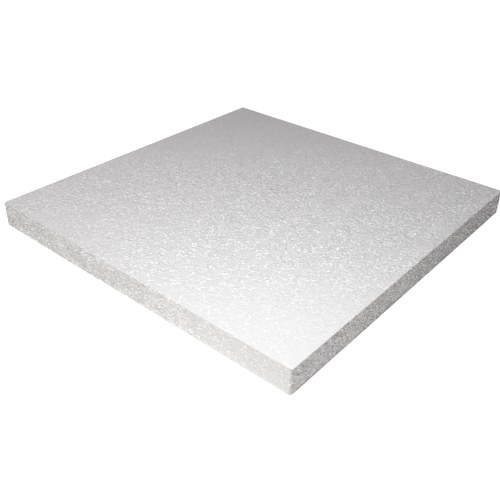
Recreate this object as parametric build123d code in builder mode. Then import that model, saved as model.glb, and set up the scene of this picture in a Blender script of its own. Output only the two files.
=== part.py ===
from build123d import *
import os

# Square polystyrene foam sheet, one solid board of fused white beads that lies flat.
# The origin is the centre of the underside. +Z goes up through the thickness,
# and the sides run along X and Y.

# Driving sizes in millimetres
sheet_width = 1000.0  # along X
sheet_depth = 1000.0  # along Y
sheet_thickness = 70.0  # along Z
corner_radius = 5.0  # the four upright corners, seen from above
edge_radius = 2.0  # the soft edge round the top face and round the underside

os.makedirs("parts", exist_ok=True)


# Foam sheet: a rounded square outline raised to the thickness
with BuildPart() as foam_sheet:
    with BuildSketch(Plane.XY):
        RectangleRounded(sheet_width, sheet_depth, corner_radius)
    extrude(amount=sheet_thickness)

    # The foam gives a little at every edge, so both rims are rounded over
    broad_faces = foam_sheet.faces().filter_by(Axis.Z).sort_by(Axis.Z)
    fillet(broad_faces[0].edges() + broad_faces[-1].edges(), radius=edge_radius)

foam_sheet.part.label = "foam_sheet"
export_step(foam_sheet.part, "parts/foam_sheet.step")
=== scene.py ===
import math
import bpy
from mathutils import Matrix, Vector


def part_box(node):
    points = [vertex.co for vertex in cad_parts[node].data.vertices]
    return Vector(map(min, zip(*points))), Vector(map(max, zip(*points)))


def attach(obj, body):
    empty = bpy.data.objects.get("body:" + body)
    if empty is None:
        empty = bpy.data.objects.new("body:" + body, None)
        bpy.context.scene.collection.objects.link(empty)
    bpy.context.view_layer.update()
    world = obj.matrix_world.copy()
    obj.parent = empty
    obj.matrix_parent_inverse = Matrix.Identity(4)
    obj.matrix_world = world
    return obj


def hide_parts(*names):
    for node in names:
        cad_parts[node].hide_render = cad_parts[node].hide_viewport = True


# A white bead foam sheet, lying flat on a pale studio floor.
# Everything is in metres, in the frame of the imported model.

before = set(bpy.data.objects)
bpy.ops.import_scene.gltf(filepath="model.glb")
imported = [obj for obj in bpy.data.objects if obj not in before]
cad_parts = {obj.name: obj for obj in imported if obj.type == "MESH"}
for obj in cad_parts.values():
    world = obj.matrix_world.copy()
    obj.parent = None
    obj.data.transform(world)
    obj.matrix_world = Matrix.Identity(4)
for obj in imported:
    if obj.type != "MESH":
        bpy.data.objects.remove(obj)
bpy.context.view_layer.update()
sheetLow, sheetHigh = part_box("foam_sheet")
sheetSize = sheetHigh - sheetLow
print("frame loaded, sheet size", [round(side, 4) for side in sheetSize])

white = (1.0, 1.0, 1.0, 1.0)
zeros = (0.0, 0.0, 0.0)
ones = (1.0, 1.0, 1.0)


# Node helpers, for materials and for geometry

def addNode(tree, kind, values=None, **settings):
    # Settings are the node's own, and values go to its sockets
    node = tree.nodes.new(kind)
    for name, value in settings.items():
        setattr(node, name, value)
    for socket, value in (values or {}).items():
        plug(tree, value, node.inputs[socket])
    return node


def plug(tree, value, socket):
    if isinstance(value, bpy.types.NodeSocket):
        tree.links.new(value, socket)
    else:
        socket.default_value = value


def result(tree, kind, values=None, **settings):
    return addNode(tree, kind, values, **settings).outputs[0]


def maths(tree, operation, first, second=0.0):
    return result(tree, "ShaderNodeMath", {0: first, 1: second}, operation=operation)


def product(tree, first, *others):
    for other in others:
        first = maths(tree, "MULTIPLY", first, other)
    return first


def vectorMaths(tree, operation, first, second=zeros, scale=1.0):
    values = {0: first, 1: second, 3: scale}
    return result(tree, "ShaderNodeVectorMath", values, operation=operation)


def vectorValue(tree, operation, first, second=zeros):
    # For the operations that make one number of vectors
    node = addNode(tree, "ShaderNodeVectorMath", {0: first, 1: second}, operation=operation)
    return node.outputs["Value"]


def clamped(tree, vector):
    # Each axis kept from 0 to 1
    return vectorMaths(tree, "MINIMUM", vectorMaths(tree, "MAXIMUM", vector, zeros), ones)


def axes(tree, vector):
    return addNode(tree, "ShaderNodeSeparateXYZ", {0: vector}).outputs


def combined(tree, x, y, z):
    return result(tree, "ShaderNodeCombineXYZ", {0: x, 1: y, 2: z})


def mapRange(tree, value, start, end, low=0.0, high=1.0, curve="LINEAR"):
    # Goes from low to high while the value goes from start to end
    return result(tree, "ShaderNodeMapRange", {
        "Value": value, "From Min": start, "From Max": end, "To Min": low, "To Max": high,
    }, interpolation_type=curve)


# Foam material

foamLook = {
    "beadColor": (0.699, 0.691, 0.693, 1.0),
    "roughness": 0.6,
    "gloss": 0.0,  # the beads shine by their skins alone
    "grainTurn": 40.0,  # the grain is a little longer along this direction, in degrees from x
    "grainStretch": 1.4,  # how many times as long as it is wide
    "paintedGlintColor": white,  # painted glints: small spots painted whiter than the rest, in the place of sparkle
    "paintedGlintSize": 0.003,
    "paintedGlintShare": 0.115,  # of the surface
    "paintedGlintFade": 0.1,  # near 0 all painted glints are fully white, and at 1 many are faint
    "waveSize": 0.0047,
    "waveHeight": 0.0042,
    "skinSize": 0.0025,  # of the small flat parts that some beads have as a glossy skin
    "skinShare": 0.6,  # of these parts that are glossy
    "skinIor": 1.6,
    "skinRoughness": 0.25,
    "skinLean": (0.2, 1.0),  # their least and most lean to a side, against 1 straight out
    "reshuffle": 37.0,  # a chance times this, less its whole part, is a new chance
}


def makeFoamMaterial():
    look = foamLook
    material = bpy.data.materials.new("whiteFoam")
    material.use_nodes = True
    tree = material.node_tree
    shader = tree.nodes["Principled BSDF"]
    shader.inputs["Roughness"].default_value = look["roughness"]
    shader.inputs["Specular IOR Level"].default_value = look["gloss"]
    shader.inputs["Coat IOR"].default_value = look["skinIor"]
    shader.inputs["Coat Roughness"].default_value = look["skinRoughness"]
    coarse = addNode(tree, "ShaderNodeAttribute", attribute_name="coarse").outputs["Fac"]
    place = result(tree, "ShaderNodeMapping", {
        "Vector": addNode(tree, "ShaderNodeTexCoord").outputs["Object"],
        "Rotation": (0.0, 0.0, math.radians(look["grainTurn"])),
        "Scale": (look["grainStretch"], 1.0, 1.0),
    }, vector_type="TEXTURE")

    def cells(size):
        # A flat random colour for each cell, and the three chances from 0 to 1 that make it
        node = addNode(tree, "ShaderNodeTexVoronoi", {"Vector": place, "Scale": 1.0 / size})
        return node.outputs["Color"], axes(tree, node.outputs["Color"])

    def reshuffled(chance):
        return maths(tree, "FRACT", maths(tree, "MULTIPLY", chance, look["reshuffle"]))

    # Painted glints: white spots painted into the base colour in the place of sparkle, fewer where the
    # beads are calm
    paintedGlintChances = cells(look["paintedGlintSize"])[1]
    paintedGlint = mapRange(tree, paintedGlintChances[0], look["paintedGlintShare"], 0.0)
    paintedGlint = product(tree, maths(tree, "POWER", paintedGlint, look["paintedGlintFade"]), coarse)
    tint = addNode(tree, "ShaderNodeMix", {
        0: paintedGlint, 6: look["beadColor"], 7: look["paintedGlintColor"],
    }, data_type="RGBA")
    plug(tree, tint.outputs[2], shader.inputs["Base Color"])

    # Waves in the surface
    waves = addNode(tree, "ShaderNodeTexNoise", {
        "Vector": place, "Scale": 1.0 / look["waveSize"], "Detail": 1.0,
    }).outputs["Fac"]
    relief = result(tree, "ShaderNodeBump", {
        "Strength": 1.0, "Distance": product(tree, coarse, look["waveHeight"]), "Height": waves,
    })
    plug(tree, relief, shader.inputs["Normal"])

    # Glossy skins, each leaning its own way
    color, chances = cells(look["skinSize"])
    way = vectorMaths(tree, "NORMALIZE", vectorMaths(tree, "SUBTRACT", color, (0.5, 0.5, 0.5)))
    leastLean, mostLean = look["skinLean"]
    lean = mapRange(tree, reshuffled(chances[0]), 0.0, 1.0, leastLean, mostLean)
    lean = vectorMaths(tree, "SCALE", way, scale=lean)
    facing = addNode(tree, "ShaderNodeNewGeometry").outputs["Normal"]
    skinFacing = vectorMaths(tree, "NORMALIZE", vectorMaths(tree, "ADD", facing, lean))
    plug(tree, skinFacing, shader.inputs["Coat Normal"])
    shiny = maths(tree, "LESS_THAN", reshuffled(chances[1]), look["skinShare"])
    shiny = product(tree, shiny, maths(tree, "MINIMUM", coarse, 1.0))
    plug(tree, shiny, shader.inputs["Coat Weight"])
    return material


# Foam sheet: a mosaic of fused beads, wrapped round the slab

sheetShape = {
    # Inputs of the node tree, under their own names
    "Bead Pitch": 0.0054,  # middle to middle of two beads
    "Scatter": 0.27,  # how far a bead strays from its place, as a share of the pitch
    "Corner Radius": 0.005,  # the four upright corners
    "Pit Depth": 0.0014,  # deepest pit where beads meet, times how coarse they are
    "Pit Rarity": 3.0,  # a higher number leaves fewer deep pits among the shallow ones
    "Most Coarse": 1.45,  # the pits get no deeper than this many times that depth
    "Rim Share": 0.3,  # how deep the pits are on the rims, against 1 on the faces
    "Patch Size": 0.045,  # size of the smooth patches, where the beads are better fused
    "Calm Patch": 0.6,  # how coarse the beads are left there, against 1 elsewhere
    "Calm Back": 0.33,  # and at the corner x-, y+
    "Calm Front": 0.25,  # and at the corner x+, y-
    "Calm Left": 0.75,  # and along the side y-
    "Face Grain": (2.4, 2.8, 1.18),  # how coarse the faces across x, y and z are
    "Seed": 7,
    # Where the calm parts start and end, with x and y in shares of the sheet's sides
    "patchRange": (0.36, 0.46),  # along a noise from 0 to 1
    "backRange": (-0.6, -0.1),  # along x less y
    "frontRange": (0.35, 0.95),  # the same
    "leftRange": (-0.45, 0.05),  # along y
    "frontLeast": 0.8,  # the face across x stays at least this coarse towards the corner x+, y-
    # Fixed parts of the mesh
    "pitSeed": 3,  # added to the seed, so that the pits have chances of their own
    "rimFade": 1.3,  # a bead pitch divided by this is where the pits away from a rim get their full depth
    "undersideRows": 2.2,  # width of the underside's outer rows, in bead pitches
    "rimBend": 1.0,  # only the rims bend more than this, in radians
    "endReach": 0.0001,  # a point nearer than this to an end of the slab counts as on it
    "underside": -0.999,  # what is lower than this, in half thicknesses, is the underside
    "mergeDistance": 0.00001,
}


def addInputs(tree):
    # One for each name in sheetShape that has a capital, and those from the frame and the material
    kinds = {float: "NodeSocketFloat", int: "NodeSocketInt", tuple: "NodeSocketVector"}
    for name in ("Width", "Depth", "Thickness"):
        tree.interface.new_socket(name, in_out="INPUT", socket_type="NodeSocketFloat")
    for name, value in sheetShape.items():
        if name[0].isupper():
            tree.interface.new_socket(name, in_out="INPUT", socket_type=kinds[type(value)])
    tree.interface.new_socket("Material", in_out="INPUT", socket_type="NodeSocketMaterial")
    return addNode(tree, "NodeGroupInput").outputs


def makeFields(tree, given):
    # What several steps read at each point, with the middle of the slab as the origin
    place = result(tree, "GeometryNodeInputPosition")
    size = combined(tree, given["Width"], given["Depth"], given["Thickness"])
    half = vectorMaths(tree, "SCALE", size, scale=0.5)
    halfThickness = maths(tree, "MULTIPLY", given["Thickness"], 0.5)
    undersideLevel = maths(tree, "MULTIPLY", halfThickness, sheetShape["underside"])
    return {
        "place": place,
        "size": size,
        "half": half,
        "halfThickness": halfThickness,
        "room": vectorMaths(tree, "SUBTRACT", half, vectorMaths(tree, "ABSOLUTE", place)),
        "aboveUnderside": maths(tree, "GREATER_THAN", axes(tree, place)[2], undersideLevel),
    }


def beadGrid(tree, given, fields):
    # One point for each bead, in a closed grid over all six faces
    def beadRows(side):
        rows = maths(tree, "ROUND", maths(tree, "DIVIDE", side, given["Bead Pitch"]))
        return maths(tree, "ADD", rows, 1.0)

    grid = result(tree, "GeometryNodeMeshCube", {
        "Size": fields["size"],
        "Vertices X": beadRows(given["Width"]),
        "Vertices Y": beadRows(given["Depth"]),
        "Vertices Z": beadRows(given["Thickness"]),
    })

    # The underside is left plain: a hole within its outer rows, closed by the last step
    room = axes(tree, fields["room"])
    outerRows = product(tree, given["Bead Pitch"], sheetShape["undersideRows"])
    wellIn = maths(tree, "GREATER_THAN", maths(tree, "MINIMUM", room[0], room[1]), outerRows)
    hole = product(tree, wellIn, maths(tree, "SUBTRACT", 1.0, fields["aboveUnderside"]))
    return result(tree, "GeometryNodeDeleteGeometry", {"Geometry": grid, "Selection": hole}, domain="FACE")


def scatterBeads(tree, given, fields, beads):
    # Beads stray along their own face, and those on an edge stray along the edge:
    # inside is 0 along each axis that the point is at the end of, and 1 along the others
    inside = clamped(tree, vectorMaths(tree, "SCALE", fields["room"], scale=1.0 / sheetShape["endReach"]))
    stray = result(tree, "FunctionNodeRandomValue", {
        "Min": (-1.0, -1.0, -1.0), "Max": ones, "Seed": given["Seed"],
    }, data_type="FLOAT_VECTOR")
    reach = product(tree, given["Scatter"], given["Bead Pitch"], fields["aboveUnderside"])
    stray = vectorMaths(tree, "SCALE", vectorMaths(tree, "MULTIPLY", stray, inside), scale=reach)
    return result(tree, "GeometryNodeSetPosition", {"Geometry": beads, "Offset": stray})


def roundCorners(tree, given, fields, beads):
    # What is past the middle of a corner's arc on both axes goes onto the arc.
    # The third part of arcMiddle is more than any point reaches, so nothing moves up or down.
    place = fields["place"]
    sides = axes(tree, fields["half"])
    middleX, middleY = (maths(tree, "SUBTRACT", side, given["Corner Radius"]) for side in sides[0:2])
    arcMiddle = combined(tree, middleX, middleY, given["Thickness"])
    past = vectorMaths(tree, "SUBTRACT", vectorMaths(tree, "ABSOLUTE", place), arcMiddle)
    past = vectorMaths(tree, "MAXIMUM", past, zeros)
    pastAxes = axes(tree, past)
    furthest = maths(tree, "MAXIMUM", pastAxes[0], pastAxes[1])
    shrink = maths(tree, "DIVIDE", furthest, vectorValue(tree, "LENGTH", past))
    drawnIn = vectorMaths(tree, "SCALE", past, scale=maths(tree, "SUBTRACT", shrink, 1.0))
    offset = vectorMaths(tree, "MULTIPLY", drawnIn, vectorMaths(tree, "SIGN", place))
    return result(tree, "GeometryNodeSetPosition", {"Geometry": beads, "Offset": offset})


def merged(tree, geometry):
    return result(tree, "GeometryNodeMergeByDistance", {
        "Geometry": geometry, "Distance": sheetShape["mergeDistance"],
    })


def fuseBeads(tree, beads):
    # Each point becomes a many-sided bead, smooth within and creased where it meets the next.
    # The faces are split along the rims meanwhile, which keeps the rims sharp.
    bend = addNode(tree, "GeometryNodeInputMeshEdgeAngle").outputs["Unsigned Angle"]
    rims = maths(tree, "GREATER_THAN", bend, sheetShape["rimBend"])
    split = result(tree, "GeometryNodeSplitEdges", {"Mesh": beads, "Selection": rims})
    triangles = result(tree, "GeometryNodeTriangulate", {"Mesh": split}, quad_method="BEAUTY")
    planes = addNode(tree, "GeometryNodeCaptureAttribute", {"Geometry": triangles}, domain="FACE")
    planes.capture_items.new("VECTOR", "Plane")
    plug(tree, result(tree, "GeometryNodeInputNormal"), planes.inputs["Plane"])
    mosaic = result(tree, "GeometryNodeDualMesh", {
        "Mesh": planes.outputs["Geometry"], "Keep Boundaries": True,
    })
    whole = merged(tree, mosaic)
    smooth = result(tree, "GeometryNodeSetShadeSmooth", {"Geometry": whole})
    creased = result(tree, "GeometryNodeSetShadeSmooth", {
        "Geometry": smooth, "Shade Smooth": False,
    }, domain="EDGE")
    return result(tree, "GeometryNodeTriangulate", {"Mesh": creased}), planes.outputs["Plane"]


def gradeBeads(tree, given, fields, plane):
    # How coarse the beads are: less in smooth patches and towards two opposite corners, more on the sides
    def calm(value, valueRange, low, high):
        return mapRange(tree, value, *sheetShape[valueRange], low, high, curve="SMOOTHSTEP")

    noise = result(tree, "ShaderNodeTexNoise", {
        "Vector": fields["place"], "Scale": maths(tree, "DIVIDE", 1.0, given["Patch Size"]), "Detail": 1.0,
    })
    patch = calm(noise, "patchRange", given["Calm Patch"], 1.0)
    shares = axes(tree, vectorMaths(tree, "DIVIDE", fields["place"], fields["size"]))
    across = maths(tree, "SUBTRACT", shares[0], shares[1])
    calmBack = calm(across, "backRange", given["Calm Back"], 1.0)
    calmFront = calm(across, "frontRange", 1.0, given["Calm Front"])
    calmLeft = calm(shares[1], "leftRange", given["Calm Left"], 1.0)
    facing = vectorMaths(tree, "ABSOLUTE", plane)
    leastOnSide = product(tree, axes(tree, facing)[0], sheetShape["frontLeast"])
    calmFront = maths(tree, "MAXIMUM", calmFront, leastOnSide)
    faceGrain = vectorValue(tree, "DOT_PRODUCT", facing, given["Face Grain"])
    return product(tree, calmBack, calmFront, calmLeft, patch, faceGrain)


def pressPits(tree, given, fields, facets, plane, coarse):
    # Pits are pressed in where three beads meet
    chance = addNode(tree, "FunctionNodeRandomValue", {
        "Seed": maths(tree, "ADD", given["Seed"], sheetShape["pitSeed"]),
    }, data_type="FLOAT").outputs["Value"]
    rare = maths(tree, "POWER", chance, given["Pit Rarity"])
    deeper = maths(tree, "MINIMUM", coarse, given["Most Coarse"])

    # They are shallower towards the rims: beadsLeft is 2 on the faces, and 1 on a rim
    fade = maths(tree, "DIVIDE", sheetShape["rimFade"], given["Bead Pitch"])
    beadsLeft = clamped(tree, vectorMaths(tree, "SCALE", fields["room"], scale=fade))
    beadsLeft = vectorValue(tree, "DOT_PRODUCT", beadsLeft, ones)
    rimShare = mapRange(tree, beadsLeft, 1.0, 2.0, given["Rim Share"], 1.0)
    depth = product(tree, given["Pit Depth"], rare, deeper, fields["aboveUnderside"], rimShare, -1.0)
    offset = vectorMaths(tree, "SCALE", plane, scale=depth)
    return result(tree, "GeometryNodeSetPosition", {"Geometry": facets, "Offset": offset})


def closeUnderside(tree, fields, facets):
    # The hole in the underside is closed by a flat fan, drawn in from its open edges
    facesBeside = addNode(tree, "GeometryNodeInputMeshEdgeNeighbors").outputs["Face Count"]
    openEdges = maths(tree, "LESS_THAN", facesBeside, 2.0)
    fan = addNode(tree, "GeometryNodeExtrudeMesh", {
        "Mesh": facets, "Selection": openEdges, "Offset Scale": 0.0,
    }, mode="EDGES")
    middle = combined(tree, 0.0, 0.0, maths(tree, "MULTIPLY", fields["halfThickness"], -1.0))
    drawn = result(tree, "GeometryNodeSetPosition", {
        "Geometry": fan.outputs["Mesh"], "Selection": fan.outputs["Top"], "Position": middle,
    })
    return result(tree, "GeometryNodeTriangulate", {"Mesh": merged(tree, drawn)})


def makeSheetTree():
    tree = bpy.data.node_groups.new("beadSheet", "GeometryNodeTree")
    tree.interface.new_socket("Geometry", in_out="OUTPUT", socket_type="NodeSocketGeometry")
    given = addInputs(tree)
    fields = makeFields(tree, given)
    beads = beadGrid(tree, given, fields)
    beads = scatterBeads(tree, given, fields, beads)
    beads = roundCorners(tree, given, fields, beads)
    facets, plane = fuseBeads(tree, beads)
    coarse = gradeBeads(tree, given, fields, plane)
    facets = result(tree, "GeometryNodeStoreNamedAttribute", {
        "Geometry": facets, "Name": "coarse", "Value": coarse,
    }, data_type="FLOAT", domain="POINT")
    facets = pressPits(tree, given, fields, facets, plane, coarse)
    slab = closeUnderside(tree, fields, facets)
    upright = combined(tree, 0.0, 0.0, fields["halfThickness"])
    slab = result(tree, "GeometryNodeSetPosition", {"Geometry": slab, "Offset": upright})
    slab = result(tree, "GeometryNodeRealizeInstances", {"Geometry": slab})
    slab = result(tree, "GeometryNodeSetMaterial", {"Geometry": slab, "Material": given["Material"]})
    addNode(tree, "NodeGroupOutput", {0: slab})
    return tree


def bakeTree(name, tree, values):
    # The tree's result as a plain mesh on an object of its own
    carrier = bpy.data.objects.new(name + "Tree", bpy.data.meshes.new(name + "Tree"))
    bpy.context.scene.collection.objects.link(carrier)
    modifier = carrier.modifiers.new("nodes", "NODES")
    modifier.node_group = tree
    for item in tree.interface.items_tree:
        if item.in_out == "INPUT":
            modifier[item.identifier] = values[item.name]
    depsgraph = bpy.context.evaluated_depsgraph_get()
    mesh = bpy.data.meshes.new_from_object(carrier.evaluated_get(depsgraph), depsgraph=depsgraph)
    bpy.data.objects.remove(carrier)
    mesh.name = name
    piece = bpy.data.objects.new(name, mesh)
    bpy.context.scene.collection.objects.link(piece)
    return piece


def makeSheet():
    values = dict(sheetShape, Width=sheetSize.x, Depth=sheetSize.y, Thickness=sheetSize.z,
                  Material=makeFoamMaterial())
    piece = bakeTree("beaded_sheet", makeSheetTree(), values)
    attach(piece, "root")
    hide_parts("foam_sheet")
    return piece


sheet = makeSheet()
print("sheet made,", len(sheet.data.polygons), "triangles,", len(sheet.data.vertices), "points")


# Floor

floorLook = {
    "size": 60.0,
    "color": (0.87, 0.865, 0.85, 1.0),
    "nearGlow": 0.9,  # lifts the lit floor to white for the camera, and leaves the shadow
    "farGlow": 1.0,  # the same far away, where little light falls on the floor
    "glowFade": (2.0, 8.0),  # how far from the middle the one starts to turn into the other, and ends
    "drop": 0.0002,  # just clear of the underside
}


def seenDirectly(tree):
    # 1 for what the camera sees, straight, by a reflection or through glass, and 0 for light on things
    rays = addNode(tree, "ShaderNodeLightPath").outputs
    mirrored = maths(tree, "MAXIMUM", rays["Is Glossy Ray"], rays["Is Transmission Ray"])
    return maths(tree, "MAXIMUM", rays["Is Camera Ray"], mirrored)


def makeFloorMaterial():
    look = floorLook
    material = bpy.data.materials.new("paleFloor")
    material.use_nodes = True
    tree = material.node_tree
    tree.nodes.clear()
    matte = result(tree, "ShaderNodeBsdfDiffuse", {"Color": look["color"]})
    away = vectorValue(tree, "LENGTH", addNode(tree, "ShaderNodeTexCoord").outputs["Object"])
    strength = mapRange(tree, away, *look["glowFade"], look["nearGlow"], look["farGlow"])
    glow = result(tree, "ShaderNodeEmission", {
        "Color": white, "Strength": product(tree, seenDirectly(tree), strength),
    })
    both = result(tree, "ShaderNodeAddShader", {0: matte, 1: glow})
    addNode(tree, "ShaderNodeOutputMaterial", {0: both})
    return material


def makeFloor():
    half = floorLook["size"] / 2
    level = sheetLow.z - floorLook["drop"]
    corners = [(-half, -half, level), (half, -half, level), (half, half, level), (-half, half, level)]
    mesh = bpy.data.meshes.new("floor")
    mesh.from_pydata(corners, [], [(0, 1, 2, 3)])
    mesh.materials.append(makeFloorMaterial())
    floor = bpy.data.objects.new("floor", mesh)
    bpy.context.scene.collection.objects.link(floor)


makeFloor()
print("floor made")


# Light

studio = {
    "sky": 0.11,  # how strongly it lights things, while the camera sees it white
    "lamps": {
        "topLamp": {
            "place": (0.328, -2.09, 2.722), "target": (0.2, -0.2, 0.0),
            "width": 1.0, "watts": 73.8, "color": (1.0, 0.976, 0.966),
        },
        "frontLamp": {
            "place": (0.448, -0.587, 0.86), "target": (0.2, -0.2, 0.0),
            "width": 0.5, "watts": 4.45, "color": (0.96, 0.99, 1.0),
        },
    },
}


def makeSky():
    world = bpy.data.worlds.new("studioSky")
    world.use_nodes = True
    tree = world.node_tree
    background = tree.nodes["Background"]
    background.inputs["Color"].default_value = white
    strength = mapRange(tree, seenDirectly(tree), 0.0, 1.0, studio["sky"], 1.0)
    plug(tree, strength, background.inputs["Strength"])
    bpy.context.scene.world = world


def makeLamp(name, look):
    lamp = bpy.data.lights.new(name, "AREA")
    lamp.shape = "DISK"
    lamp.size = look["width"]
    lamp.energy = look["watts"]
    lamp.color = look["color"]
    holder = bpy.data.objects.new(name, lamp)
    holder.location = look["place"]
    aim = Vector(look["target"]) - Vector(look["place"])
    holder.rotation_euler = aim.to_track_quat("-Z", "Y").to_euler()
    bpy.context.scene.collection.objects.link(holder)


makeSky()
for lampName, lampLook in studio["lamps"].items():
    makeLamp(lampName, lampLook)
bpy.context.scene.view_settings.view_transform = "Standard"
print("light made")


# Camera

view = {
    "azimuth": 40.12,  # degrees round from the front, towards +X
    "elevation": 32.72,
    "roll": 0.97,
    "distance": 1.6125,  # from the target, a point on the top face
    "target": (0.162, -0.230),
    "focalPixels": 654.8,  # focal length in pixels of the 500-pixel image
    "imagePixels": 500,
    "sensor": 36.0,  # width in millimetres
}


def makeCamera():
    azimuth, elevation, roll = (math.radians(view[name]) for name in ("azimuth", "elevation", "roll"))
    back = Vector((
        math.sin(azimuth) * math.cos(elevation),
        -math.cos(azimuth) * math.cos(elevation),
        math.sin(elevation),
    ))
    data = bpy.data.cameras.new("camera")
    data.sensor_width = view["sensor"]
    data.lens = view["focalPixels"] / view["imagePixels"] * view["sensor"]
    camera = bpy.data.objects.new("camera", data)
    turn = (-back).to_track_quat("-Z", "Y").to_matrix() @ Matrix.Rotation(roll, 3, "Z")
    target = Vector((*view["target"], sheetHigh.z))
    camera.matrix_world = Matrix.Translation(target + back * view["distance"]) @ turn.to_4x4()
    bpy.context.scene.collection.objects.link(camera)
    bpy.context.scene.camera = camera


makeCamera()
print("camera set")
